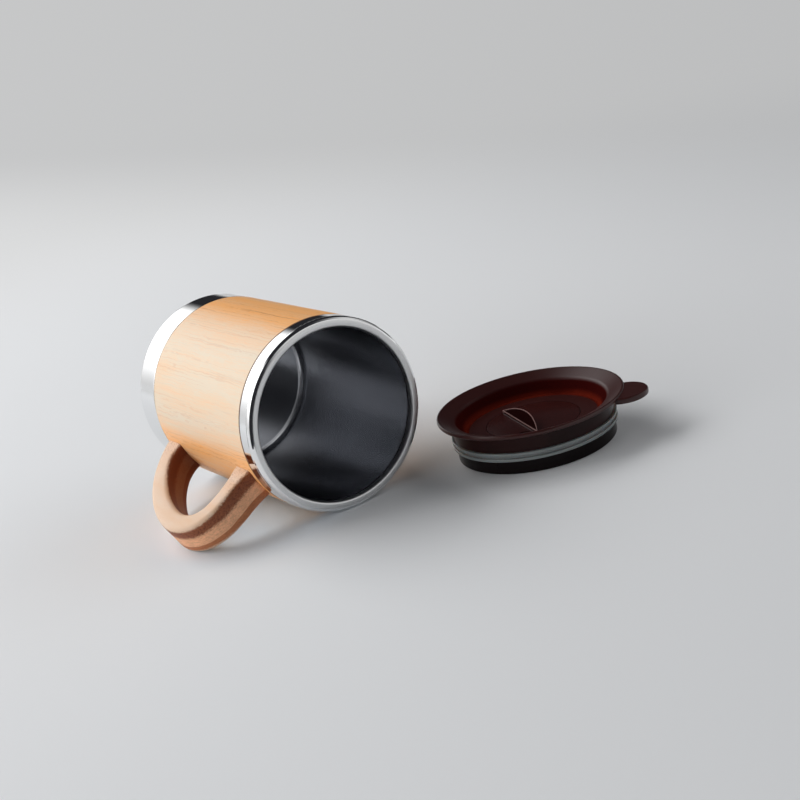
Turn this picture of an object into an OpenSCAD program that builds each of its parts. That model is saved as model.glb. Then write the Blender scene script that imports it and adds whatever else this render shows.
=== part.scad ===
// Double-walled steel mug with a bamboo sleeve and a bamboo handle.
// The mug lies on its side with its mouth towards -Y, and its lid lies flat beside it.
// +Z is up. The origin is on the floor, under the middle of the whole.

/* [Cup] */
// Diameter over the bands and the sleeve
cup_d = 85; // [70:1:100]
// Height from the base to the top of the lip
cup_h = 112; // [95:1:140]
// Height of the steel band at the lip
top_band_h = 9; // [7:0.5:16]
// Height of the steel band at the base
base_band_h = 17; // [10:0.5:18]
// From the base up to the floor inside
floor_rise = 15; // [10:1:40]
// Thickness of the liner and of the outer shell
sheet_t = 0.4; // [0.3:0.05:0.7]
// Thickness of the base cap
cap_t = 0.5; // [0.4:0.05:1]
// Air space between the liner and the outer shell
air_gap = 1.5; // [0.6:0.1:4]
// Thickness of the bamboo sleeve
sleeve_t = 2.6; // [2.2:0.1:5]
// Radius between the wall and the floor inside
liner_fillet = 2.5; // [1:0.5:20]
// Rounding of the base's outer edge
base_edge_r = 2.4; // [1:0.1:4]
// Depth of the hollow under the base
base_recess = 1.5; // [0.5:0.1:2.5]
// Width of the flat ring that the cup stands on
stand_ring_w = 7; // [3:0.5:14]

/* [Lip] */
// Height of the rolled lip above the band
lip_h = 2.8; // [1.2:0.1:3]
// How far the lip stays inside the band's outer face
lip_inset = 0.05; // [0:0.05:0.6]
// How far the lip opens out from the liner's bore
lip_flare = 0.45; // [0.1:0.05:0.8]

/* [Handle] */
// Width of the handle's board
board_t = 15.5; // [10:0.5:22]
// Thickness of the handle's bow
bow_t = 9.5; // [6:0.5:11]
// Thickness of the handle where it meets the sleeve
root_t = 13.5; // [10:0.5:15]
// How far from the sleeve the middle of the bow reaches
bow_reach = 33.2; // [24:0.5:48]
// From the lip down to the middle of the upper root
upper_root_drop = 19.6; // [17:0.2:30]
// From the base up to the middle of the lower root
lower_root_rise = 24.2; // [24:0.2:34]
// Rounding of the board's edges
board_edge_r = 2.3; // [1:0.1:3.8]

/* [Handle screws] */
// Diameter of the screw's shank
screw_d = 3.2; // [2:0.1:4]
// Diameter of the screw's head
screw_head_d = 5.8; // [4.6:0.1:7]
// Depth of the countersunk head
screw_head_h = 1.6; // [1:0.1:2]
// Length of the screw
screw_l = 10; // [6:0.5:12]
// Length of the screw's point
screw_point_l = 2; // [1:0.1:4]

/* [Lid] */
// Height of the ring below the seal
plug_h = 6.3; // [4:0.1:9]
// Height of the seal
seal_h = 3.9; // [3.4:0.1:6]
// Height of the skirt, from the seal to the flange's outer edge
skirt_h = 8.3; // [7:0.1:12]
// Thickness of the flange
flange_t = 2; // [1.4:0.1:3]
// Width of the flange from its outer edge to the bowl
flange_w = 8; // [7:0.1:10]
// How far the flange slopes down towards the bowl
flange_drop = 2.9; // [1:0.1:3.4]
// Depth of the bowl below the flange's inner edge
bowl_depth = 6.4; // [5:0.1:8]
// Width of the bowl's sloping wall
bowl_slope_w = 4; // [2:0.1:4.4]
// Rounding where the flange turns down into the bowl
bowl_edge_round = 4; // [1:0.5:6]
// Rounding between the bowl's wall and its floor
bowl_foot_round = 1.2; // [0.4:0.1:2]
// Wall thickness of the moulding
lid_wall = 1.6; // [1.2:0.1:1.8]
// Clearance between the ring under the seal and the liner
plug_gap = 1.4; // [0.8:0.1:1.8]
// Clearance between the skirt and the liner
skirt_gap = 1.1; // [0.6:0.1:1.4]
// Direction of the finger tab
tab_angle = -50; // [-180:5:180]
// Radius of the finger tab's round end
tab_r = 10.9; // [8:0.1:14]
// How far past the flange's edge the tab's centre lies
tab_out = 0.1; // [0:0.1:6]
// Thickness of the finger tab
tab_t = 2.8; // [1.6:0.1:3.4]
// How far the tab's underside lies below the flange's outer edge
tab_drop = 1.4; // [0:0.1:1.6]

/* [Seal] */
// How much larger than the bore the free seal is
rib_squeeze = 0.1; // [0:0.05:0.6]
// Height of each of the seal's two ribs
rib_h = 1.4; // [1:0.1:1.6]
// Depth of the groove between the ribs
rib_depth = 1.1; // [0.4:0.1:1.3]

/* [Sip disc] */
// Diameter of the turning disc
disc_d = 42.5; // [34:0.5:48]
// Thickness of the turning disc
disc_t = 1.6; // [1.4:0.1:2.2]
// How far the disc turns from closed to open
disc_turn = 90; // [60:5:110]
// Diameter of the drinking hole
sip_d = 4; // [3:0.1:5]
// Height of the thumb ridge above the disc
ridge_h = 4.8; // [2:0.1:5]
// Height of the thumb ridge at its foot and ends
ridge_foot_h = 1.3; // [0.4:0.1:1.8]
// Width of the thumb ridge's sloping face
ridge_w = 4; // [3:0.1:6]
// Distance of the ridge's foot from the disc's centre
ridge_off = 6.5; // [3:0.5:10]
// Direction of the ridge's foot
ridge_angle = 75.5; // [0:1:180]

/* [Place of the lid] */
// Free space between the cup's side and the lid's flange
lid_aside = 0.5; // [0:0.5:60]
// How far the lid's centre lies in front of the mouth
lid_forward = 18.5; // [0:0.5:60]

/* [Hidden] */

// Smoothness of round parts and of small edges
$fn = 96;
edge_steps = 5;
// Overrun of cuts, past the face that they leave
cut = 1;

// Clearances: the sleeve on the shell, its ends, pressed rings, turning parts and screws
sleeve_fit = 0.1;
sleeve_end_gap = 0.2;
press_gap = 0.05;
turn_gap = 0.05;
screw_gap = 0.05;

// Radii of the cup, from the outside in
cup_r = cup_d / 2;
sleeve_bore_r = cup_r - sleeve_t;
waist_r = sleeve_bore_r - sleeve_fit;
shell_bore_r = waist_r - sheet_t;
liner_out_r = shell_bore_r - air_gap;
liner_r = liner_out_r - sheet_t;
lip_r = cup_r - lip_inset;
lip_in_r = liner_r + lip_flare;
band_bore_r = cup_r - cap_t;

// Heights of the cup, from the base up
shell_foot = 5;
shell_top = cup_h - lip_h;
band_foot = cup_h - top_band_h;
band_edge_r = 0.5;
// The seam between the band and the lip, and the lip's roundings outside and inside
seam_r = 0.15;
lip_w = lip_r - lip_in_r;
lip_out_round = min(lip_h - seam_r, lip_w * 0.6);
lip_in_round = min(lip_h, lip_w) * 0.35;
floor_dish = 1.2;
floor_dish_r = shell_bore_r * 0.75;

// The handle's middle line, as shares of the roots' distance and of the reach
route_shares = [
    [-0.03, -0.42], [0, -0.12], [0.04, 0.16], [0.13, 0.415], [0.275, 0.655], [0.445, 0.84], [0.62, 0.957],
    [0.77, 1], [0.885, 0.965], [0.97, 0.865], [1.02, 0.69], [1.03, 0.46], [1.018, 0.22], [1, -0.12],
    [0.985, -0.42]
];
route_steps = 5;
corner_steps = 5;
root_span = cup_h - upper_root_drop - lower_root_rise;
root_heights = [lower_root_rise, cup_h - upper_root_drop];
// Reach share below which the bow thickens towards its roots
flare_share = 0.36;

// Heights of the lid, from the floor up
seal_top = plug_h + seal_h;
flange_z = seal_top + skirt_h;
lid_h = flange_z + flange_t;
bowl_edge_z = lid_h - flange_drop;
bowl_z = bowl_edge_z - bowl_depth;

// Radii of the lid
flange_r = cup_r;
bowl_edge_r = flange_r - flange_w;
bowl_r = bowl_edge_r - bowl_slope_w;
skirt_r = liner_r - skirt_gap;
plug_r = liner_r - plug_gap;
neck_r = plug_r - rib_depth;
spigot_r = skirt_r - lid_wall * 1.3;
spigot_h = 2.4;
plug_bore_r = spigot_r - lid_wall;
flange_edge_r = flange_t * 0.4;
flange_slope = flange_drop / flange_w;
flange_angle = atan2(flange_drop, flange_w - flange_edge_r);
bowl_angle = atan2(bowl_depth, bowl_slope_w);
bowl_out = lid_wall * [sin(bowl_angle), -cos(bowl_angle)];

// The disc's seat, stem and stop
disc_r = disc_d / 2;
disc_seat_gap = 0.3;
disc_lift = 0.1;
seat_z = bowl_z - disc_t - disc_lift;
seat_floor_t = 1.5;
bowl_under_z = seat_z - seat_floor_t;
stem_r = 3;
stem_neck_r = 2.4;
stem_head_h = 0.8;
clip_r = 6;
clip_t = 1.1;
clip_slot = 3.4;
stop_r = 1;
stop_h = 0.7;
stop_orbit = 9;
stop_angle = 150;
stop_gap = 0.3;

// The drinking hole lies across from the tab, and the disc's notch a turn further round
sip_r = sip_d / 2;
sip_wall = 1.1;
seal_t = 0.75;
sip_orbit = disc_r - sip_r - sip_wall - press_gap * 8;
sip_angle = tab_angle + 180;
notch_r = sip_r + sip_wall + stop_gap;

// Height of the bowl wall's underside at a radius
function bowl_under(r) = bowl_z + bowl_out.y + (r - bowl_r - bowl_out.x) * bowl_depth / bowl_slope_w;

// A list of points round part of a circle
function arc(x, y, r, from, to) =
    [for (k = [0 : edge_steps]) let (a = from + (to - from) * k / edge_steps) [x + r * cos(a), y + r * sin(a)]];

// The centre of a rounding between two lines that meet at a corner, below them for a positive radius
function round_centre(corner, r, angle_a, angle_b) =
    let (a = [sin(angle_a), -cos(angle_a)], b = [sin(angle_b), -cos(angle_b)])
    corner + r * (a + b) / (1 + a * b);

// A point on the smooth curve through four route points, between the second and the third
function blend(a, b, c, d, t) =
    0.5 * (2 * b + (c - a) * t + (2 * a - 5 * b + 4 * c - d) * t * t + (3 * b - a - 3 * c + d) * t * t * t);
function blend_slope(a, b, c, d, t) =
    0.5 * ((c - a) + 2 * (2 * a - 5 * b + 4 * c - d) * t + 3 * (3 * b - a - 3 * c + d) * t * t);

// Stations along the handle: reach share, place across the plane of the bow, and direction
route_last = len(route_shares) - 3;
stations = [
    for (i = [1 : route_last]) for (k = [0 : route_steps - (i == route_last ? 0 : 1)])
        let (t = k / route_steps, a = route_shares[i - 1], b = route_shares[i])
        let (c = route_shares[i + 1], d = route_shares[i + 2])
        let (p = blend(a, b, c, d, t), v = blend_slope(a, b, c, d, t))
        let (way = [v.y * bow_reach, v.x * root_span])
        [p.y, [cup_r + p.y * bow_reach, root_heights[0] + p.x * root_span], way / norm(way)]
];

// Thickness of the bow at a reach share: it grows towards the roots
function bow_at(share) =
    bow_t + (root_t - bow_t) * pow(max(0, min(1, (flare_share - share) / flare_share)), 2);

// The board's rounded cross-section, in thickness and width
function board_section(thick) = [
    for (q = [0 : 3]) for (k = [0 : corner_steps])
        let (a = 90 * (q + k / corner_steps), u = thick / 2 - board_edge_r, v = board_t / 2 - board_edge_r)
        [(q == 0 || q == 3 ? u : -u) + board_edge_r * cos(a), (q < 2 ? v : -v) + board_edge_r * sin(a)]
];

// The handle's rings, as [reach, side, height] from the cup's axis
rings = [
    for (s = stations) let (across = [s[2].y, -s[2].x])
        [for (q = board_section(bow_at(s[0]))) [s[1].x + across.x * q.x, q.y, s[1].y + across.y * q.x]]
];
ring_size = len(rings[0]);
handle_points = [for (r = rings) for (p = r) p];

// The cup rolls until its handle meets the floor: the angle from the handle down to straight down
lie_angles = [
    for (p = handle_points) if (p.x > cup_r)
        acos(cup_r / norm([p.x, p.y])) + atan2(p.y, p.x)
];
lie_angle = max(lie_angles);
below = 90 - lie_angle;

// Where everything lies, seen from the middle of the mouth's floor line
handle_left = max([for (p = handle_points) p.x * cos(below) - p.y * sin(below)]);
lid_x = cup_r + flange_r + lid_aside;
tab_y = (flange_r + tab_out) * sin(tab_angle) - tab_r;
middle_x = (lid_x + flange_r - handle_left) / 2;
middle_y = (cup_h - lid_forward + min(tab_y, -flange_r)) / 2;

// Lays the standing cup on its side, with its handle on the floor
module lay_cup() {
    translate([-middle_x, cup_h - middle_y, cup_r])
        rotate([0, 180 - below, 0])
            rotate([90, 0, 0])
                children();
}

// Puts the lid on the floor beside the cup
module place_lid() {
    translate([lid_x - middle_x, -lid_forward - middle_y, 0])
        children();
}

// A screw's place: its head lies flush in the sleeve's bore and it points outwards
module at_screws() {
    for (h = root_heights)
        translate([0, 0, h])
            rotate([0, 90, 0])
                translate([0, 0, sleeve_bore_r])
                    children();
}

module inner_cup() {
    floor_r = liner_r - liner_fillet;
    out_fillet = liner_fillet + sheet_t;
    outline = concat(
        [[0, floor_rise - sheet_t]],
        arc(floor_r, floor_rise + liner_fillet, out_fillet, -90, 0),
        [[liner_out_r, shell_top]],
        arc(lip_r - seam_r, shell_top + seam_r, seam_r, -90, 0),
        arc(lip_r - lip_out_round, cup_h - lip_out_round, lip_out_round, 0, 90),
        arc(lip_in_r + lip_in_round, cup_h - lip_in_round, lip_in_round, 90, 180),
        [[liner_r, shell_top - lip_flare]],
        arc(floor_r, floor_rise + liner_fillet, liner_fillet, 0, -90),
        [[0, floor_rise]]
    );
    color("gainsboro") lay_cup() rotate_extrude() polygon(outline);
}

module outer_shell() {
    outline = concat(
        [[shell_bore_r, shell_foot], [waist_r, shell_foot], [waist_r, band_foot]],
        arc(cup_r - band_edge_r, band_foot + band_edge_r, band_edge_r, -90, 0),
        arc(cup_r - seam_r, shell_top - seam_r, seam_r, 0, 90),
        [
            [liner_out_r + press_gap, shell_top],
            [liner_out_r + press_gap, shell_top - sheet_t],
            [band_bore_r, shell_top - sheet_t],
            [band_bore_r, band_foot + cap_t],
            [shell_bore_r, band_foot + cap_t]
        ]
    );
    color("silver") lay_cup() rotate_extrude() polygon(outline);
}

module shell_floor() {
    seat_r = shell_bore_r - press_gap;
    outline = [
        [0, shell_foot + floor_dish],
        [floor_dish_r, shell_foot + floor_dish],
        [floor_dish_r + floor_dish, shell_foot],
        [seat_r, shell_foot],
        [seat_r, shell_foot + sheet_t],
        [floor_dish_r + floor_dish, shell_foot + sheet_t],
        [floor_dish_r, shell_foot + floor_dish + sheet_t],
        [0, shell_foot + floor_dish + sheet_t]
    ];
    color("darkgray") lay_cup() rotate_extrude() polygon(outline);
}

module base_cap() {
    ring_in = cup_r - base_edge_r - stand_ring_w;
    outline = concat(
        [[0, base_recess], [ring_in - base_recess, base_recess], [ring_in, 0]],
        arc(cup_r - base_edge_r, base_edge_r, base_edge_r, -90, 0),
        arc(cup_r - band_edge_r, base_band_h - band_edge_r, band_edge_r, 0, 90),
        [
            [waist_r + press_gap, base_band_h],
            [waist_r + press_gap, base_band_h - cap_t],
            [band_bore_r, base_band_h - cap_t]
        ],
        arc(cup_r - base_edge_r, base_edge_r, base_edge_r - cap_t, 0, -90),
        [[ring_in, cap_t], [ring_in - base_recess, base_recess + cap_t], [0, base_recess + cap_t]]
    );
    color("silver") lay_cup() rotate_extrude() polygon(outline);
}

// The screw's outline with its head at zero, made larger all round by gap for its hole
module screw_shape(gap) {
    head_r = screw_head_d / 2 + gap;
    shank_r = screw_d / 2 + gap;
    rotate_extrude()
        polygon([
            [0, 0],
            [head_r, 0],
            [shank_r, screw_head_h + gap],
            [shank_r, screw_l - screw_point_l + gap],
            [0, screw_l + gap]
        ]);
}

module bamboo_sleeve() {
    foot = base_band_h + sleeve_end_gap;
    top = band_foot - sleeve_end_gap;
    color("burlywood")
        lay_cup()
            difference() {
                translate([0, 0, foot])
                    cylinder(h = top - foot, r = cup_r);
                translate([0, 0, foot - cut])
                    cylinder(h = top - foot + 2 * cut, r = sleeve_bore_r);
                at_screws()
                    screw_shape(screw_gap);
                at_screws()
                    translate([0, 0, -cut])
                        cylinder(h = cut, d = screw_head_d + 2 * screw_gap);
            }
}

module handle_screws() {
    color("dimgray")
        lay_cup()
            intersection() {
                at_screws()
                    screw_shape(0);
                difference() {
                    cylinder(h = cup_h, r = cup_r + screw_l);
                    translate([0, 0, -cut])
                        cylinder(h = cup_h + 2 * cut, r = sleeve_bore_r);
                }
            }
}

// The bow as one swept solid, from inside the sleeve round to inside it again
module bow() {
    last = len(rings) - 1;
    sides = [
        for (i = [0 : last - 1]) for (j = [0 : ring_size - 1])
            let (a = i * ring_size + j, b = i * ring_size + (j + 1) % ring_size)
            each [[a, b, b + ring_size], [a, b + ring_size, a + ring_size]]
    ];
    ends = [[for (j = [ring_size - 1 : -1 : 0]) j], [for (j = [0 : ring_size - 1]) last * ring_size + j]];
    polyhedron(points = handle_points, faces = concat(sides, ends));
}

module handle() {
    color("peru")
        lay_cup()
            difference() {
                bow();
                cylinder(h = cup_h, r = cup_r + press_gap);
                at_screws()
                    screw_shape(screw_gap);
            }
}

module lid_cover() {
    foot = round_centre([bowl_r, bowl_z], -bowl_foot_round, 0, bowl_angle);
    edge = round_centre([bowl_edge_r, bowl_edge_z], bowl_edge_round, bowl_angle, flange_angle);
    outline = concat(
        [
            [stem_r + turn_gap, bowl_under_z],
            [stem_r + turn_gap, seat_z],
            [disc_r + disc_seat_gap, seat_z],
            [disc_r + disc_seat_gap, bowl_z]
        ],
        arc(foot.x, foot.y, bowl_foot_round, -90, bowl_angle - 90),
        arc(edge.x, edge.y, bowl_edge_round, bowl_angle + 90, flange_angle + 90),
        arc(flange_r - flange_edge_r, lid_h - flange_edge_r, flange_edge_r, flange_angle + 90, 0),
        arc(flange_r - flange_edge_r, flange_z + flange_edge_r, flange_edge_r, 0, -80),
        [
            [skirt_r, flange_z - (flange_r - skirt_r) * flange_slope],
            [skirt_r, seal_top],
            [spigot_r + press_gap, seal_top],
            [spigot_r + press_gap, bowl_under(spigot_r + press_gap)],
            [bowl_r + bowl_out.x, bowl_z + bowl_out.y],
            [bowl_r + bowl_out.x / 2, bowl_under_z]
        ]
    );
    color("saddlebrown")
        place_lid() {
            difference() {
                rotate_extrude() polygon(outline);
                rotate([0, 0, sip_angle])
                    translate([sip_orbit, 0, 0]) {
                        translate([0, 0, bowl_under_z - cut])
                            cylinder(h = bowl_z, r = sip_r);
                        translate([0, 0, seat_z - seal_t])
                            cylinder(h = seal_t + cut, r = sip_r + sip_wall + press_gap);
                    }
            }
            // The stop that the disc's groove runs over
            rotate([0, 0, stop_angle])
                translate([stop_orbit, 0, seat_z - stop_h])
                    cylinder(h = 2 * stop_h, r = stop_r);
            // The finger tab
            difference() {
                rotate([0, 0, tab_angle])
                    translate([flange_r + tab_out, 0, flange_z - tab_drop])
                        rotate_extrude()
                            polygon(concat(
                                [[0, 0]],
                                arc(tab_r - flange_edge_r, flange_edge_r, flange_edge_r, -90, 0),
                                arc(tab_r - flange_edge_r, tab_t - flange_edge_r, flange_edge_r, 0, 90),
                                [[0, tab_t]]
                            ));
                translate([0, 0, flange_z - tab_drop - cut])
                    cylinder(h = tab_t + 2 * cut, r = flange_r - flange_edge_r);
            }
        }
}

module lid_plug() {
    foot_r = plug_bore_r + lid_wall / 4;
    bore_top = min(seal_top + spigot_h, bowl_under(plug_bore_r) - press_gap);
    outline = concat(
        [[foot_r, 0]],
        arc(plug_r - flange_edge_r, flange_edge_r, flange_edge_r, -90, 0),
        [
            [plug_r, plug_h],
            [neck_r, plug_h],
            [neck_r, seal_top],
            [spigot_r, seal_top],
            [spigot_r, seal_top + spigot_h],
            [plug_bore_r, bore_top],
            [plug_bore_r, lid_wall]
        ]
    );
    color("#2a1512") place_lid() rotate_extrude() polygon(outline);
}

module lid_gasket() {
    rib_r = liner_r + rib_squeeze;
    base_r = rib_r - rib_depth;
    rib_round = rib_h / 4;
    function rib(z) = concat(
        [[base_r, z]],
        arc(rib_r - rib_round, z + rib_round, rib_round, -90, 0),
        arc(rib_r - rib_round, z + rib_h - rib_round, rib_round, 0, 90),
        [[base_r, z + rib_h]]
    );
    outline = concat(
        [[neck_r + press_gap, plug_h]],
        rib(plug_h),
        rib(seal_top - rib_h),
        [[neck_r + press_gap, seal_top]]
    );
    color("whitesmoke") place_lid() rotate_extrude() polygon(outline);
}

module sip_disc() {
    under_z = seat_z + disc_lift;
    top_z = under_z + disc_t;
    neck_z = bowl_under_z - disc_lift - clip_t;
    ridge_half = sqrt(pow(disc_r - disc_seat_gap, 2) - pow(ridge_off, 2));
    ridge_arc_r = (pow(ridge_half, 2) + pow(ridge_w, 2)) / (2 * ridge_w);
    ridge_rise = (ridge_h - ridge_foot_h) / ridge_w;
    color("saddlebrown")
        place_lid() {
            difference() {
                translate([0, 0, under_z])
                    cylinder(h = disc_t, r = disc_r);
                // The notch that uncovers the drinking hole
                rotate([0, 0, sip_angle + disc_turn])
                    translate([sip_orbit, 0, under_z - cut]) {
                        cylinder(h = disc_t + 2 * cut, r = notch_r);
                        translate([0, -notch_r, 0])
                            cube([disc_r, 2 * notch_r, disc_t + 2 * cut]);
                    }
                // The groove that runs over the stop
                rotate([0, 0, stop_angle])
                    stop_groove(under_z);
            }
            // The stem, with the neck that the clip grips
            translate([0, 0, neck_z + clip_t])
                cylinder(h = under_z - neck_z - clip_t, r = stem_r);
            translate([0, 0, neck_z])
                cylinder(h = clip_t, r = stem_neck_r);
            translate([0, 0, neck_z - stem_head_h])
                cylinder(h = stem_head_h, r1 = stem_neck_r, r2 = stem_r);
            // The thumb ridge: a slope that rises from a straight low side to a bowed edge
            rotate([0, 0, ridge_angle])
                translate([0, ridge_off, top_z])
                    intersection() {
                        translate([0, ridge_arc_r - ridge_w, -disc_t / 2])
                            cylinder(h = ridge_h + disc_t / 2, r = ridge_arc_r);
                        rotate([90, 0, 90])
                            linear_extrude(height = disc_d, center = true)
                                polygon([
                                    [0, -disc_t / 2],
                                    [0, ridge_foot_h],
                                    [-disc_r, ridge_foot_h + disc_r * ridge_rise],
                                    [-disc_r, -disc_t / 2]
                                ]);
                    }
        }
}

// The stop's groove in the disc's underside, a turn long
module stop_groove(under_z) {
    groove_r = stop_r + stop_gap;
    groove_h = stop_h + disc_lift;
    translate([0, 0, under_z - cut]) {
        for (a = [0, disc_turn])
            rotate([0, 0, a])
                translate([stop_orbit, 0, 0])
                    cylinder(h = groove_h + cut, r = groove_r);
        rotate_extrude(angle = disc_turn)
            translate([stop_orbit - groove_r, 0])
                square([2 * groove_r, groove_h + cut]);
    }
}

module disc_clip() {
    clip_z = bowl_under_z - disc_lift - clip_t;
    color("ivory")
        place_lid()
            difference() {
                translate([0, 0, clip_z + turn_gap])
                    cylinder(h = clip_t - 2 * turn_gap, r = clip_r);
                translate([0, 0, clip_z - cut])
                    cylinder(h = clip_t + 2 * cut, r = stem_neck_r + turn_gap);
                translate([0, -clip_slot / 2, clip_z - cut])
                    cube([clip_r + cut, clip_slot, clip_t + 2 * cut]);
            }
}

module sip_seal() {
    color("whitesmoke")
        place_lid()
            rotate([0, 0, sip_angle])
                translate([sip_orbit, 0, seat_z - seal_t])
                    difference() {
                        cylinder(h = seal_t + turn_gap, r = sip_r + sip_wall);
                        translate([0, 0, -cut])
                            cylinder(h = seal_t + 2 * cut, r = sip_r);
                    }
}

inner_cup();
outer_shell();
shell_floor();
base_cap();
bamboo_sleeve();
handle();
handle_screws();
lid_cover();
lid_plug();
lid_gasket();
sip_disc();
disc_clip();
sip_seal();
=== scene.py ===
import math

import bpy
from mathutils import Matrix, Vector


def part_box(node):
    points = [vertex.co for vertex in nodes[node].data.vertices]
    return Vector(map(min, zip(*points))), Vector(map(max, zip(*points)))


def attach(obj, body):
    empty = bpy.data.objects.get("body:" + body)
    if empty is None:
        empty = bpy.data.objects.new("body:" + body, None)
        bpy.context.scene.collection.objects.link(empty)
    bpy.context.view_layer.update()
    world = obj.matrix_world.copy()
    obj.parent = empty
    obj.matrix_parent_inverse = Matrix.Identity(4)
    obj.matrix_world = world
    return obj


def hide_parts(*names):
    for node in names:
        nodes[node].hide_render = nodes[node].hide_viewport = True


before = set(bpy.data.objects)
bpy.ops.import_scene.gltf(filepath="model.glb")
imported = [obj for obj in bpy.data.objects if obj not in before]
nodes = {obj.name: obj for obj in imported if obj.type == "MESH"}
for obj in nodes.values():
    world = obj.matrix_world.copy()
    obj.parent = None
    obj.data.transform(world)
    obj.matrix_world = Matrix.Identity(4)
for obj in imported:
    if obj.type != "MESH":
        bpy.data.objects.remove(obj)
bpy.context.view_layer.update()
perMetre = 1000  # millimetres, which the finishes are given in
print("frame loaded,", len(nodes), "pieces")


# a socket: sums on it add Math nodes
class Field:
    def __init__(self, graph, socket):
        self.graph = graph
        self.socket = socket

    def join(self, operation, *values):
        return self.graph.node(
            "ShaderNodeMath", {"operation": operation}, dict(enumerate([self, *values])))

    def __add__(self, other):
        return self.join("ADD", other)

    def __sub__(self, other):
        return self.join("SUBTRACT", other)

    def __mul__(self, other):
        return self.join("MULTIPLY", other)

    def __truediv__(self, other):
        return self.join("DIVIDE", other)

    def __pow__(self, other):
        return self.join("POWER", other)

    def __rsub__(self, other):
        return self.graph.node("ShaderNodeMath", {"operation": "SUBTRACT"}, {0: other, 1: self})

    __radd__ = __add__
    __rmul__ = __mul__

    def absolute(self):
        return self.join("ABSOLUTE")

    def root(self):
        return self.join("SQRT")

    def floor(self):
        return self.join("FLOOR")

    def most(self, other):
        return self.join("MAXIMUM", other)

    # a noise's swing to both sides of its middle
    def swing(self):
        return self - 0.5

    # 0 below start, 1 above end, smooth between
    def rise(self, start, end):
        return self.graph.node(
            "ShaderNodeMapRange", {"interpolation_type": "SMOOTHSTEP"},
            {"Value": self, "From Min": start, "From Max": end})

    # 1 below start, 0 above end
    def fall(self, start, end):
        return 1 - self.rise(start, end)


# a node tree: node() makes any node, the rest make those that are used again and again
class Graph:
    def __init__(self, tree):
        self.tree = tree

    def node(self, kind, settings=None, inputs=None, output=0):
        made = self.tree.nodes.new(kind)
        for label, value in (settings or {}).items():
            setattr(made, label, value)
        for label, value in (inputs or {}).items():
            self.feed(made.inputs[label], value)
        return Field(self, made.outputs[output])

    def feed(self, socket, value):
        if isinstance(value, Field):
            self.tree.links.new(value.socket, socket)
        elif socket.type == "RGBA" and len(value) == 3:
            socket.default_value = (*value, 1)
        else:
            socket.default_value = value

    # a blend of two colours
    def mix(self, share, first, second, way="MIX"):
        return self.node(
            "ShaderNodeMix", {"data_type": "RGBA", "blend_type": way},
            {0: share, 6: first, 7: second}, 2)

    def split(self, vector):
        made = self.node("ShaderNodeSeparateXYZ", None, {0: vector})
        return [Field(self, s) for s in made.socket.node.outputs]

    def stretch(self, vector, factors):
        return self.node("ShaderNodeVectorMath", {"operation": "MULTIPLY"}, {0: vector, 1: factors})

    def noise(self, vector, scale, detail=2.0, rough=0.5, output=0):
        return self.node(
            "ShaderNodeTexNoise", None,
            {"Vector": vector, "Scale": scale, "Detail": detail, "Roughness": rough}, output)

    # a noise that is stretched along the grain
    def grain(self, vector, factors, scale, detail, rough, output=0):
        return self.noise(self.stretch(vector, factors), scale, detail, rough, output)

    # 1 where a ray comes from the camera, a reflection or a clear body
    def seen(self):
        camera, glossy, clear = (
            self.node("ShaderNodeLightPath", output="Is %s Ray" % kind)
            for kind in ("Camera", "Glossy", "Transmission"))
        return camera.most(glossy).most(clear)


# a material with its Principled surface
class Shader(Graph):
    def __init__(self, name, **constants):
        self.material = bpy.data.materials.new(name)
        self.material.use_nodes = True
        super().__init__(self.material.node_tree)
        self.out = self.tree.nodes["Material Output"].inputs["Surface"]
        self.surface = self.tree.nodes["Principled BSDF"]
        self.setConstants(constants)

    def setConstants(self, constants):
        for label, value in constants.items():
            self.surface.inputs[label.replace("_", " ")].default_value = value

    def set(self, label, value):
        self.feed(self.surface.inputs[label], value)

    # one surface over another, where share is 1
    def over(self, share, first, second):
        both = self.node("ShaderNodeMixShader", None, {0: share, 1: first, 2: second})
        self.feed(self.out, both)

    # a second Principled surface where share is 1; set() feeds it from then on
    def layer(self, share, **constants):
        first = Field(self, self.out.links[0].from_socket)
        second = self.node("ShaderNodeBsdfPrincipled")
        self.surface = second.socket.node
        self.setConstants(constants)
        self.over(share, first, second)

    # the surface point in millimetres, in the frame that matrix gives from the part's metres
    def point(self, matrix):
        place = self.node("ShaderNodeTexCoord", output="Object")
        return self.node(
            "ShaderNodeMapping", None,
            {"Vector": place, "Location": matrix.to_translation() * perMetre,
             "Rotation": matrix.to_euler(), "Scale": (perMetre, perMetre, perMetre)})

    # distance is the relief's full height, in metres
    def bump(self, height, strength, distance):
        self.set("Normal", self.node(
            "ShaderNodeBump", None, {"Height": height, "Strength": strength, "Distance": distance}))


def wear(piece, shader):
    piece.data.materials.clear()
    piece.data.materials.append(shader.material)


# 1 inside a sector seen from the middle, whose direction is (x, y) over its length flat
def sector(x, y, flat, plan):
    turn, half, soft = (math.radians(plan[k]) for k in ("azimuth", "half", "soft"))
    facing = (x * math.cos(turn) + y * math.sin(turn)) / flat
    return facing.rise(math.cos(half + soft), math.cos(half - soft))


# where the cup and the lid lie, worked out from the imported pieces

cupPlace = {
    "height": 0.112,        # from the base to the top of the lip, in metres
    "handleBelow": 26.908,  # how far the handle hangs below level, in degrees
}

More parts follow.
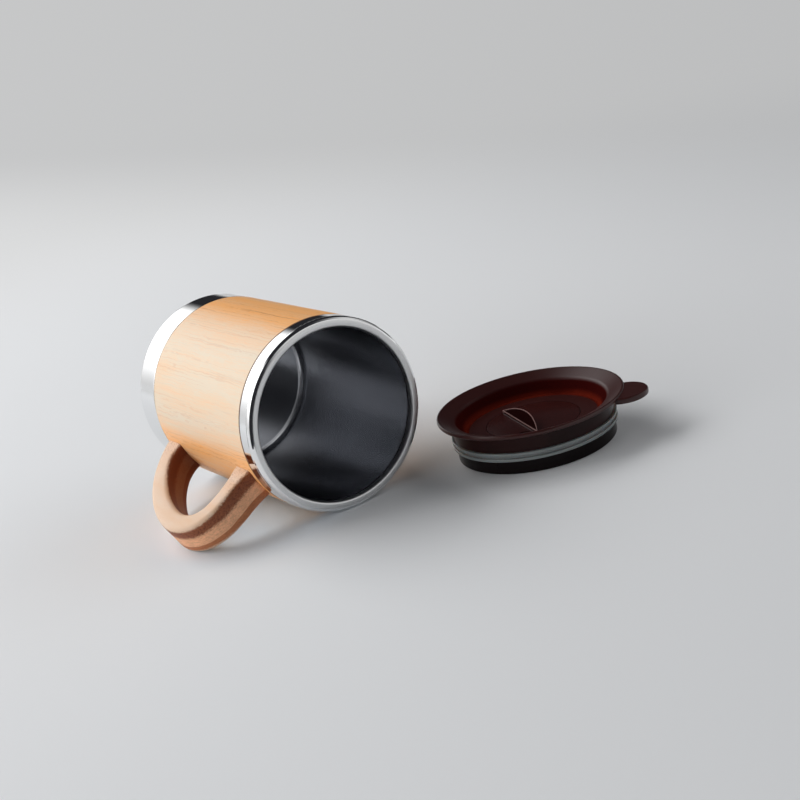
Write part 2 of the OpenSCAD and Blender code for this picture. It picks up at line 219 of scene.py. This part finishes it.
linerLow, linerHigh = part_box("inner_cup")
sealLow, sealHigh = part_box("lid_gasket")
cupRadius = (linerLow.z + linerHigh.z) / 2  # the cup lies on the floor, so its axis is as high
layCup = (
    Matrix.Translation(((linerLow.x + linerHigh.x) / 2, linerLow.y + cupPlace["height"], cupRadius))
    @ Matrix.Rotation(math.radians(180 - cupPlace["handleBelow"]), 4, "Y")
    @ Matrix.Rotation(math.radians(90), 4, "X"))
toCup = layCup.inverted()
toLid = Matrix.Translation((-(sealLow.x + sealHigh.x) / 2, -(sealLow.y + sealHigh.y) / 2, 0))
print("cup and lid placed")


# camera, floor and lights

cameraPlan = {
    "place": (-0.31732, -0.58847, 0.24477),
    "right": (0.8102, -0.5435, -0.2194),
    "up": (0.3466, 0.1425, 0.9271),
    "lens": 70.16,
    "sensor": 36.0,
    "nearest": 0.01,
}


def addCamera(plan):
    lens = bpy.data.cameras.new("camera")
    lens.lens = plan["lens"]
    lens.sensor_width = plan["sensor"]
    lens.clip_start = plan["nearest"]
    camera = bpy.data.objects.new("camera", lens)
    bpy.context.scene.collection.objects.link(camera)
    right, up = Vector(plan["right"]), Vector(plan["up"])
    turn = Matrix((right, up, right.cross(up))).transposed().to_4x4()
    camera.matrix_world = Matrix.Translation(plan["place"]) @ turn
    bpy.context.scene.camera = camera


# lengths in metres, sectors in degrees; the floor and the backdrop darken along rightward, away from
# the key, as painted light falloff
stagePlan = {
    "size": 80.0,
    "paperLeft": (0.825, 0.832, 0.84),
    "paperRight": (0.69, 0.695, 0.70),
    "paperGrain": {"scale": 900, "share": 0.02, "grey": (0.5, 0.5, 0.5)},
    "farLeft": (0.725, 0.73, 0.735),    # the backdrop, and the floor from far on
    "farRight": (0.625, 0.63, 0.635),
    "far": (0.40, 1.00),
    "rightward": (0.83, -0.56),
    "floorSide": (-0.50, 0.50),         # from the left shade to the right one
    "middle": 0.45,                     # about how wide the floor's middle is, where the shade is even
    "horizonSide": (-0.6, 0.6),
    "footWay": (0.992, 0.125),          # towards the backdrop, whose foot is painted a little darker as painted shade
    "foot": (0.22, 0.68),
    "footShade": 0.80,
    "cool": (0.88, 1.04, 1.16),         # evens out the warm light that the wood throws down
    "coolPlace": (-0.062, 0.012),
    "coolReach": (0.005, 0.060),
    "gap": {"azimuth": 218, "half": 32, "soft": 4},  # where metal sees past the paper
    "gapFrom": (0.200, 0.220),
}

roomPlan = {
    "fill": 0.060,                      # the even light on all sides
    "tint": (0.97, 1.0, 1.05),          # its slightly cool colour
    "dark": (0.022, 0.022, 0.025),      # the studio that metal shows between the boards
    "horizon": (0.0, 0.10),
    "boardRise": (0.0, 0.40),           # a board goes from its low to its high brightness here
}

# white boards round the table, in degrees and brightness; fill is what dull surfaces get of them
boards = {
    "left": {"azimuth": 127, "half": 51, "soft": 6, "top": 58, "softTop": 8,
             "low": 0.72, "high": 1.9, "fill": 0.56},
    "right": {"azimuth": -45, "half": 48, "soft": 12, "top": 48, "softTop": 16,
              "low": 0.85, "high": 0.7, "fill": 0.42},
}

offZero = 0.001  # added to a length that something is divided by


# how far something lies along a direction on the floor
def along(x, y, way):
    return x * way[0] + y * way[1]


def addStage(plan):
    bpy.ops.object.select_all(action="DESELECT")
    bpy.ops.mesh.primitive_plane_add(size=plan["size"])
    floor = bpy.context.object
    floor.name = "floor"
    paper = Shader("seamless_paper", Roughness=0.9, Specular_IOR_Level=0.1)
    place = paper.node("ShaderNodeTexCoord", output="Object")
    x, y, _ = paper.split(place)
    away = (x * x + y * y).root()
    # painted light falloff: side makes the paper paler towards the key on the left and darker to the
    # right, and foot adds painted shade at the backdrop's foot
    side = (along(x, y, plan["rightward"]) / (away + plan["middle"])).rise(*plan["floorSide"])
    foot = 1 - along(x, y, plan["footWay"]).rise(*plan["foot"]) * (1 - plan["footShade"])
    ground = paper.mix(side, plan["paperLeft"], plan["paperRight"])
    ground = paper.mix(1.0, ground, foot, "MULTIPLY")
    coolX, coolY = plan["coolPlace"]
    cool = (((x - coolX) ** 2) + ((y - coolY) ** 2)).root().fall(*plan["coolReach"])
    ground = paper.mix(cool, ground, plan["cool"], "MULTIPLY")
    grain = plan["paperGrain"]
    share = paper.noise(place, grain["scale"]) * grain["share"]
    paper.set("Base Color", paper.mix(share, ground, grain["grey"]))
    gap = sector(x, y, away + offZero, plan["gap"]) * away.rise(*plan["gapFrom"])
    gap = gap * paper.node("ShaderNodeLightPath", output="Is Glossy Ray")
    # the backdrop's glow takes the same painted light falloff and painted shade
    far = paper.mix(1.0, paper.mix(side, plan["farLeft"], plan["farRight"]), foot, "MULTIPLY")
    far = paper.mix(gap, far, roomPlan["dark"])
    glow = paper.node("ShaderNodeEmission", None, {"Color": far, "Strength": 1.0})
    share = (away.rise(*plan["far"]) * paper.seen()).most(gap)
    paper.over(share, Field(paper, paper.surface.outputs[0]), glow)
    wear(floor, paper)


def addRoom(plan):
    world = bpy.context.scene.world or bpy.data.worlds.new("studio")
    bpy.context.scene.world = world
    world.use_nodes = True
    world.node_tree.nodes.clear()
    room = Graph(world.node_tree)
    x, y, z = room.split(room.node("ShaderNodeTexCoord", output="Generated"))
    flat = (x * x + y * y).root() + offZero
    side = (along(x, y, stagePlan["rightward"]) / flat).rise(*stagePlan["horizonSide"])
    horizon = room.mix(side, stagePlan["farLeft"], stagePlan["farRight"])
    dark = z.rise(*plan["horizon"]).most(sector(x, y, flat, stagePlan["gap"]))
    mirrored = room.mix(dark, horizon, plan["dark"])
    lit = plan["fill"]
    for board in boards.values():
        top, softTop = math.radians(board["top"]), math.radians(board["softTop"])
        edge = sector(x, y, flat, board) * z.fall(math.sin(top - softTop), math.sin(top + softTop))
        level = z.rise(*plan["boardRise"]) * (board["high"] - board["low"]) + board["low"]
        mirrored = room.mix(edge, mirrored, level)
        lit = lit + edge * board["fill"]
    camera = room.node("ShaderNodeLightPath", output="Is Camera Ray")
    shown = room.mix(camera, mirrored, horizon)
    light = room.mix(1.0, lit, plan["tint"], "MULTIPLY")
    colour = room.mix(room.seen(), light, shown)
    back = room.node("ShaderNodeBackground", None, {"Color": colour, "Strength": 1.0})
    out = room.tree.nodes.new("ShaderNodeOutputWorld")
    room.feed(out.inputs["Surface"], back)


# azimuth and rise in degrees, far, width and height in metres
softboxes = {
    "key": {"azimuth": 119, "rise": 43, "far": 2.6, "width": 3.1, "height": 1.5, "watts": 53.0},
    "card": {"azimuth": -15, "rise": 26, "far": 1.5, "width": 1.7, "height": 1.2, "watts": 6.5},
    "side": {"azimuth": 178, "rise": 14, "far": 1.8, "width": 1.6, "height": 0.9, "watts": 12.5},
}


def addSoftbox(name, plan):
    lamp = bpy.data.lights.new(name, "AREA")
    lamp.shape = "RECTANGLE"
    lamp.size, lamp.size_y = plan["width"], plan["height"]
    lamp.energy = plan["watts"]
    turn, rise = math.radians(plan["azimuth"]), math.radians(plan["rise"])
    way = Vector((math.cos(turn) * math.cos(rise), math.sin(turn) * math.cos(rise), math.sin(rise)))
    holder = bpy.data.objects.new(name, lamp)
    bpy.context.scene.collection.objects.link(holder)
    holder.location = way * plan["far"]
    holder.rotation_euler = way.to_track_quat("Z", "Y").to_euler()
    holder.visible_glossy = False  # metal shows the boards instead, which have soft edges


addCamera(cameraPlan)
addStage(stagePlan)
addRoom(roomPlan)
for name, plan in softboxes.items():
    addSoftbox(name, plan)
bpy.context.scene.view_settings.view_transform = "Standard"
print("camera, floor and lights set")


# pieces that need softer edges than the solids have: lengths in metres, angles in degrees

sipDiscPlan = {"bevel": 0.00022, "segments": 2, "sharper": 35, "smooth": 32}
handlePlan = {"bevel": 0.0004, "segments": 2, "sharper": 60, "smooth": 35}
mergePlan = {"closer": 0.000002, "flatter": 0.5}


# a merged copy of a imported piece, ready to be bevelled and smoothed
def softCopy(source, name, body):
    piece = bpy.data.objects.new(name, nodes[source].data.copy())
    bpy.context.scene.collection.objects.link(piece)
    bpy.ops.object.select_all(action="DESELECT")
    piece.select_set(True)
    bpy.context.view_layer.objects.active = piece
    bpy.ops.object.mode_set(mode="EDIT")
    bpy.ops.mesh.select_all(action="SELECT")
    bpy.ops.mesh.remove_doubles(threshold=mergePlan["closer"])
    bpy.ops.mesh.dissolve_limited(angle_limit=math.radians(mergePlan["flatter"]))
    bpy.ops.object.mode_set(mode="OBJECT")
    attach(piece, body)
    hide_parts(source)
    return piece


def easeEdges(piece, plan):
    bevel = piece.modifiers.new("edges", "BEVEL")
    bevel.width = plan["bevel"]
    bevel.segments = plan["segments"]
    bevel.limit_method = "ANGLE"
    bevel.angle_limit = math.radians(plan["sharper"])
    bpy.ops.object.modifier_apply(modifier="edges")
    bpy.ops.object.shade_smooth_by_angle(angle=math.radians(plan["smooth"]))


sipDisc = softCopy("sip_disc", "turning_disc", "sip_closure")
easeEdges(sipDisc, sipDiscPlan)
bow = softCopy("handle", "bamboo_handle", "cup")
easeEdges(bow, handlePlan)
print("disc and handle softened")


# finishes: places in millimetres, in the cup's frame with z up from its base, or in the lid's
# a texture's numbers are its stretch, its scale, detail and roughness; its grain runs along z

bambooSleeve = {
    # pale is the washed-out tone that the painted sheen side takes, and that the random tone comes
    # close to in places
    "pale": (0.745, 0.625, 0.48),
    "warm": (0.95, 0.455, 0.150),
    "streak": (0.50, 0.175, 0.055),
    "sheenSide": {"azimuth": -60, "half": 36, "soft": 16},  # painted sheen: where the sleeve faces the key and the left board it is palest
    "backSide": {"azimuth": 105, "half": 68, "soft": 24},  # a little paler too
    "backShare": 0.5,
    "stripWidth": 8.5,              # round the sleeve
    "stripSeed": 100,               # another number deals the strips' tones anew
    "tone": {"all": 0.88, "pale": 0.78, "broad": 1.1, "strip": 0.06, "fibre": 0.8},
    "marks": {"all": 1.25, "pale": 0.80, "vein": 0.42, "fleck": 0.20, "fine": 0.45},
    "joint": (0.14, 0.035, 0.012),  # the darker lines at the bands
    "jointLow": (17.2, 17.9),
    "jointHigh": (102.1, 102.8),
    "jointShare": 0.75,
    "jointLowShare": 0.4,           # the line at the base shows less
    "drift": ((1, 1, 1.2), 0.11, 2, 0.5),
    "sway": (1.5, 1.5, 0),          # how far the grain wanders
    "broad": ((1, 1, 0.10), 0.11, 3, 0.5),
    "fibre": ((1, 1, 0.022), 2.2, 3, 0.6),
    "fine": ((1, 1, 0.030), 6.5, 2, 0.6),
    "vein": ((1, 1, 0.009), 0.60, 1, 0.5),
    "veinWidth": 0.045,
    "broken": ((1, 1, 0.045), 0.16, 1, 0.5),
    "brokenFrom": (0.40, 0.64),
    "fleck": ((1, 1, 0.055), 1.3, 2, 0.6),
    "fleckFrom": (0.66, 0.75),
    "rough": {"all": 0.52, "fibre": 0.12, "fleck": 0.1},
    "relief": {"fibre": 0.6, "fine": 0.4, "fleck": 0.5, "strength": 0.25, "metres": 0.00006},
}


def dressSleeve(plan):
    wood = Shader("bamboo_sleeve", Specular_IOR_Level=0.35, Coat_Weight=0.30, Coat_Roughness=0.45)
    at = wood.point(toCup)
    x, y, z = wood.split(at)
    turn = wood.node("ShaderNodeMath", {"operation": "ARCTAN2"}, {0: y, 1: x})
    strip = (turn * (cupRadius * perMetre / plan["stripWidth"]) + plan["stripSeed"]).floor()
    strips = wood.node("ShaderNodeTexWhiteNoise", {"noise_dimensions": "1D"}, {"W": strip})
    drift = wood.grain(at, *plan["drift"], "Color")
    sway = wood.node(
        "ShaderNodeVectorMath", {"operation": "MULTIPLY_ADD"}, {0: drift, 1: plan["sway"], 2: at})
    broad, fibre, fine = (wood.grain(sway, *plan[k]) for k in ("broad", "fibre", "fine"))
    vein = wood.grain(sway, *plan["vein"]).swing().absolute().fall(0.0, plan["veinWidth"])
    broken = wood.grain(at, *plan["broken"]).rise(*plan["brokenFrom"])
    fleck = wood.grain(sway, *plan["fleck"]).rise(*plan["fleckFrom"])
    radius = (x * x + y * y).root()
    # painted sheen: the sleeve is paler, with fainter streaks, on the side that faces the key and the
    # left board, and a little paler at the back
    pale = sector(x, y, radius, plan["sheenSide"])
    pale = pale.most(sector(x, y, radius, plan["backSide"]) * plan["backShare"])
    part = plan["tone"]
    tone = (part["all"] - pale * part["pale"] + broad.swing() * part["broad"]
            + strips * part["strip"] + fibre.swing() * part["fibre"])
    colour = wood.mix(tone, plan["pale"], plan["warm"])
    part = plan["marks"]
    dark = vein * broken * part["vein"] + fleck * part["fleck"] + fine.swing() * part["fine"]
    dark = dark * (part["all"] - pale * part["pale"])
    colour = wood.mix(dark, colour, plan["streak"])
    joint = (z.fall(*plan["jointLow"]) * plan["jointLowShare"]).most(z.rise(*plan["jointHigh"]))
    wood.set("Base Color", wood.mix(joint * plan["jointShare"], colour, plan["joint"]))
    part = plan["rough"]
    wood.set("Roughness", part["all"] + fibre * part["fibre"] + fleck * part["fleck"])
    part = plan["relief"]
    height = fibre * part["fibre"] + fine * part["fine"] - fleck * part["fleck"]
    wood.bump(height, part["strength"], part["metres"])
    wear(nodes["bamboo_sleeve"], wood)


handleBoard = {
    "face": (0.71, 0.53, 0.40),
    "faceWarm": (0.70, 0.43, 0.25),
    "outerPly": (0.27, 0.076, 0.028),  # the dark, porous layer beside the lit face
    "middlePly": (0.95, 0.50, 0.28),
    "innerPly": (0.52, 0.185, 0.075),
    "pores": (0.07, 0.016, 0.008),
    "hollow": (0.17, 0.036, 0.013),    # painted shade on the faces that look into the handle's opening
    "hollowShare": 0.8,
    "hollowTop": (93.2, 94.6),         # the handle's end near the lip stays out of the painted shade
    "ringMiddle": (43.0, 77.0),        # the middle of the bow, out from the cup's axis and up
    "ringReach": (32.6, 48.5),
    "inside": (0.94, 1.0),
    "plies": (-1.7, 3.7),              # where the layers meet across the board
    "half": 7.75,                      # half the board's thickness
    "faceDepth": 0.8,                  # how far the face's colour comes round the edge
    "tipFrom": (0.2, 1.0),
    "tipDepth": 1.3,                   # and how much further at the far end of the bow
    "faceSpeck": 3,
    "faceShare": {"from": (0.35, 0.7), "broad": 0.6, "grain": 0.45},
    "wobble": 0.9,
    "plyEdges": ((-1.0, 0.9), (-0.2, 0.2), (-1.2, 0.6)),  # how the first, the second and the pores fade
    "plySpeck": 5,
    "streaks": {"darkFrom": 0.35, "dark": 0.9, "lightFrom": 0.45, "light": 0.35},
    "grain": ((0.35, 1, 0.12), 1.9, 3, 0.65),
    "fine": ((0.5, 1.2, 0.14), 5.5, 2, 0.6),
    "broad": ((1, 1, 0.25), 0.13, 2, 0.5),
    "bend": (0.12, 1),
    "speck": (1.9, 2, 0.8),
    "pore": (1.7, 2, 0.75),
    "poreFrom": (0.52, 0.62),
    "poreShare": {"light": 0.25, "dark": 0.75, "depth": 0.85},
    "rough": {"all": 0.46, "fine": 0.14},
    "relief": {"grain": 0.5, "fine": 0.3, "pore": 0.6, "strength": 0.3, "metres": 0.00008},
}


def dressHandle(plan):
    wood = Shader("bamboo_board", Specular_IOR_Level=0.25, Coat_Weight=0.06, Coat_Roughness=0.35)
    at = wood.point(toCup)
    x, y, z = wood.split(at)
    grain, fine, broad = (wood.grain(at, *plan[k]) for k in ("grain", "fine", "broad"))
    speck = wood.noise(at, *plan["speck"]).swing()
    part = plan["faceShare"]
    share = broad.rise(*part["from"]) * part["broad"] + grain.swing() * part["grain"]
    face = wood.mix(share, plan["face"], plan["faceWarm"])

    # the layers, from the lit face across the board
    across = y + wood.noise(at, *plan["bend"]).swing() * plan["wobble"]
    first, second = plan["plies"]
    outer, inner, porous = plan["plyEdges"]
    share = (across + speck * plan["plySpeck"]).rise(first + outer[0], first + outer[1])
    edge = wood.mix(share, plan["outerPly"], plan["middlePly"])
    edge = wood.mix(across.rise(second + inner[0], second + inner[1]), edge, plan["innerPly"])
    part = plan["streaks"]
    edge = wood.mix((grain - part["darkFrom"]) * part["dark"], edge, plan["pores"])
    edge = wood.mix((fine - part["lightFrom"]) * part["light"], edge, plan["middlePly"])
    part = plan["poreShare"]
    share = part["light"] + across.fall(first + porous[0], first + porous[1]) * part["dark"]
    pores = wood.noise(at, *plan["pore"]).rise(*plan["poreFrom"]) * share
    edge = wood.mix(pores * part["depth"], edge, plan["pores"])

    # out and up are 0 in the middle of the bow and 1 at its outline
    out, up = ((place - middle) / reach for place, middle, reach in zip(
        (x, z), plan["ringMiddle"], plan["ringReach"]))
    # painted shade inside the bow, on the faces that look into its opening
    hollow = (out * out + up * up).root().fall(*plan["inside"]) * z.fall(*plan["hollowTop"])
    edge = wood.mix(hollow * plan["hollowShare"], edge, plan["hollow"])
    tip = out.rise(*plan["tipFrom"])
    side = y.absolute() + speck * plan["faceSpeck"] + tip * plan["tipDepth"]
    side = side.rise(plan["half"] - plan["faceDepth"], plan["half"])
    wood.set("Base Color", wood.mix(side, edge, face))
    wood.set("Roughness", plan["rough"]["all"] + fine * plan["rough"]["fine"])
    part = plan["relief"]
    height = grain * part["grain"] + fine * part["fine"] - pores * (1 - side) * part["pore"]
    wood.bump(height, part["strength"], part["metres"])
    wear(bow, wood)


polishedSteel = {
    "colour": (0.90, 0.905, 0.91),
    "floor": (0.6, 0.6, 0.61),  # the shell's floor and the screws are plainer, and hidden
    "screw": (0.5, 0.5, 0.5),
    "dull": 0.94,               # a smudge's brightness
    "smudge": ((1, 1, 1.6), 0.09, 3, 0.6),
    "smudgeFrom": (0.4, 0.75),
    "hair": ((0.25, 0.25, 9), 1.4, 2, 0.6),
    "rough": {"all": 0.035, "smudge": 0.05, "hair": 0.02},
    "relief": {"strength": 0.03, "metres": 0.00002},
}


def dressPolished(name, nodeName, colour, plan=polishedSteel):
    steel = Shader(name, Metallic=1.0)
    at = steel.point(toCup)
    smudge, hair = (steel.grain(at, *plan[k]) for k in ("smudge", "hair"))
    steel.set("Base Color", steel.mix(smudge, [c * plan["dull"] for c in colour], colour))
    part = plan["rough"]
    smear = smudge.rise(*plan["smudgeFrom"])
    steel.set("Roughness", part["all"] + smear * part["smudge"] + hair * part["hair"])
    steel.bump(hair, plan["relief"]["strength"], plan["relief"]["metres"])
    wear(nodes[nodeName], steel)


linerSteel = {
    # painted shade: the inner wall is far darker than the lip and the bottom, for the shade inside the
    # cup, with a paler cloud in it
    "inside": (0.31, 0.32, 0.345),
    "insidePale": (0.40, 0.41, 0.435),
    "bottom": (0.72, 0.73, 0.76),
    "bottomTop": (16.0, 17.5),  # the bottom's height
    "lip": (0.72, 0.725, 0.73),
    "lipFoot": (108.9, 109.9),  # where the lip's brighter finish begins
    "lipPolish": (40.5, 41.3),  # the radius where the lip becomes as polished as the band
    "turned": ((0.35, 0.35, 5), 2.2, 3, 0.6),
    "cloud": (0.06, 3, 0.55),
    "rough": {"all": 0.15, "cloud": 0.05, "turned": 0.05, "lip": 0.16, "polish": 0.05},
    "relief": {"strength": 0.04, "metres": 0.00004},
}


def dressLiner(plan):
    steel = Shader("satin_liner", Metallic=1.0)
    at = steel.point(toCup)
    x, y, z = steel.split(at)
    turned = steel.grain(at, *plan["turned"])
    cloud = steel.noise(at, *plan["cloud"])
    lip = z.rise(*plan["lipFoot"])
    polish = (x * x + y * y).root().rise(*plan["lipPolish"])
    # painted shade on the inner wall
    colour = steel.mix(cloud, plan["inside"], plan["insidePale"])
    colour = steel.mix(z.fall(*plan["bottomTop"]), colour, plan["bottom"])
    colour = steel.mix(lip, colour, plan["lip"])
    steel.set("Base Color", steel.mix(polish, colour, polishedSteel["colour"]))
    part = plan["rough"]
    satin = part["all"] + cloud * part["cloud"] + turned * part["turned"] + lip * part["lip"]
    steel.set("Roughness", satin * (1 - polish) + polish * part["polish"])
    steel.bump(turned, plan["relief"]["strength"], plan["relief"]["metres"])
    wear(nodes["inner_cup"], steel)


lidBrown = {
    "base": (0.031, 0.0080, 0.0072),
    "warm": (0.041, 0.0110, 0.0100),
    "wall": (0.032, 0.0030, 0.0026),  # painted glow: the bowl's wall is redder, for the light that comes through the plastic
    "wallInner": (28.8, 29.8),        # radii between which the wall's colour comes in
    "wallOuter": (33.8, 35.4),
    "wallFoot": 0.5,                  # how far below the floor it begins
    "bowlFloor": 11.2,                # height of the bowl's floor
    "glow": (0.105, 0.0105, 0.0050),  # painted glow along the wall's foot
    "glowTop": (0.3, 3.0),            # above the floor
    "glowShare": (0.35, 0.65),        # everywhere, and in patches
    "patch": (0.05, 2, 0.6),
    "patchFrom": (0.36, 0.6),
    "skirt": (0.012, 0.0028, 0.0026),  # painted shade below the flange, whose underside rises outwards
    "skirtPale": 1.5,
    "skirtSlope": 0.3625,
    "skirtTop": (3.8, 4.2),
    "skirtInner": (35.6, 36.0),
    "skirtOuter": (39.4, 39.8),
    "cloud": (0.06, 2),
    "skin": (3.2, 3, 0.6),
    "rough": {"skin": 0.06, "cloud": 0.05},
    "relief": {"strength": 0.06, "metres": 0.00003},
}

# painted shade: the plug ring near the floor is much darker than the cover
plugShaded = dict(lidBrown, base=(0.004, 0.0022, 0.0026), warm=(0.007, 0.004, 0.004))

thumbRidge = {
    "angle": 75.5,   # direction of the foot, in degrees
    "off": 6.5,      # from the disc's centre to the foot
    "width": 4.0,
    "half": 19.91,   # half the foot's length
    "line": 0.28,    # width of the painted highlight lines along its edges
    "soft": 0.1,     # how softly they end
    "sharp": 0.6,    # share of the straight line's width that is full
    "top": 0.35,     # it begins this far above the bowl's floor
    "foot": (0.5, 0.8),
    # painted shade on the ridge's face
    "colour": (0.012, 0.003, 0.003),
    # painted highlights along the ridge's edges
    "edge": (0.24, 0.15, 0.14),
}


def brownPlastic(name, plan, rough, shine=0.4):
    plastic = Shader(name, Specular_IOR_Level=shine)
    at = plastic.point(toLid)
    cloud = plastic.noise(at, *plan["cloud"])
    skin = plastic.noise(at, *plan["skin"])
    plastic.set("Base Color", plastic.mix(cloud, plan["base"], plan["warm"]))
    plastic.set("Roughness", rough + skin * plan["rough"]["skin"] + cloud * plan["rough"]["cloud"])
    plastic.bump(skin, plan["relief"]["strength"], plan["relief"]["metres"])
    return plastic, at


def dressLid(plan):
    cover, at = brownPlastic("brown_lid", plan, rough=0.25)
    x, y, z = cover.split(at)
    radius = (x * x + y * y).root()
    floor = plan["bowlFloor"]
    patch = cover.noise(at, *plan["patch"]).rise(*plan["patchFrom"])
    low, high = plan["glowTop"]
    even, patchy = plan["glowShare"]
    # painted glow: the bowl's wall is redder, and orange along its foot, for light that comes through
    # the plastic
    wall = radius.rise(*plan["wallInner"]) * radius.fall(*plan["wallOuter"])
    wall = wall * z.rise(floor - plan["wallFoot"], floor)
    foot = z.fall(floor + low, floor + high) * (even + patch * patchy)
    cover.layer(wall, Specular_IOR_Level=0.0, Roughness=0.35)
    cover.set("Base Color", cover.mix(foot, plan["wall"], plan["glow"]))
    # painted shade: the skirt under the flange is darker than the rest of the cover, with paler patches
    skirt = (z - radius * plan["skirtSlope"]).fall(*plan["skirtTop"])
    skirt = skirt * radius.rise(*plan["skirtInner"]) * radius.fall(*plan["skirtOuter"])
    cover.layer(skirt, Specular_IOR_Level=0.15, Roughness=0.30)
    pale = [c * plan["skirtPale"] for c in plan["skirt"]]
    cover.set("Base Color", cover.mix(patch, plan["skirt"], pale))
    wear(nodes["lid_cover"], cover)


def dressPlug(plan):
    plug, _ = brownPlastic("shaded_plug_ring", plan, rough=0.16, shine=0.12)
    wear(nodes["lid_plug"], plug)


def dressDisc(plan, ridge):
    disc, at = brownPlastic("brown_disc", plan, rough=0.20)
    x, y, z = disc.split(at)
    turn = math.radians(ridge["angle"])
    lengthways = x * math.cos(turn) + y * math.sin(turn)
    across = y * math.cos(turn) - x * math.sin(turn) - ridge["off"]
    width, half, line = ridge["width"], ridge["half"], ridge["line"]
    bend = (half ** 2 + width ** 2) / (2 * width)  # radius of the bowed edge
    inset = across - (bend - width)
    bowed = (lengthways * lengthways + inset * inset).root()
    top = plan["bowlFloor"] + ridge["top"]
    low, high = ridge["foot"]
    # painted highlights along the bowed edge and the straight foot
    edge = bowed.rise(bend - line - ridge["soft"], bend - line)
    straight = across.absolute().fall(line * ridge["sharp"], line) * z.rise(top + low, top + high)
    edge = edge.most(straight)
    # the ridge's face takes the painted shade, with the painted highlights on it
    disc.layer(z.rise(top, top + ridge["soft"]), Specular_IOR_Level=0.0, Roughness=0.35)
    disc.set("Base Color", disc.mix(edge, ridge["colour"], ridge["edge"]))
    wear(sipDisc, disc)


siliconeWhite = {
    "base": (0.16, 0.165, 0.165),
    "pale": (0.21, 0.216, 0.216),
    "cloud": (0.12, 2),
    "dust": (5.0, 3, 0.7),
    "rough": {"all": 0.20, "dust": 0.12},
    "relief": {"strength": 0.08, "metres": 0.00004},
}


def dressSeal(name, nodeName, plan=siliconeWhite):
    rubber = Shader(name, Specular_IOR_Level=0.9, Subsurface_Weight=0.2)
    at = rubber.point(toLid)
    cloud = rubber.noise(at, *plan["cloud"])
    dust = rubber.noise(at, *plan["dust"])
    rubber.set("Base Color", rubber.mix(cloud, plan["base"], plan["pale"]))
    rubber.set("Roughness", plan["rough"]["all"] + dust * plan["rough"]["dust"])
    rubber.bump(dust, plan["relief"]["strength"], plan["relief"]["metres"])
    wear(nodes[nodeName], rubber)


dressSleeve(bambooSleeve)
dressHandle(handleBoard)
dressPolished("polished_shell", "outer_shell", polishedSteel["colour"])
dressPolished("polished_base", "base_cap", polishedSteel["colour"])
dressPolished("plain_floor", "shell_floor", polishedSteel["floor"])
dressPolished("screw_steel", "handle_screws", polishedSteel["screw"])
dressLiner(linerSteel)
dressLid(lidBrown)
dressPlug(plugShaded)
dressDisc(lidBrown, thumbRidge)
dressSeal("silicone_seal", "lid_gasket")
dressSeal("silicone_ring", "sip_seal")
dressSeal("clip_plastic", "disc_clip")
print("finishes set")
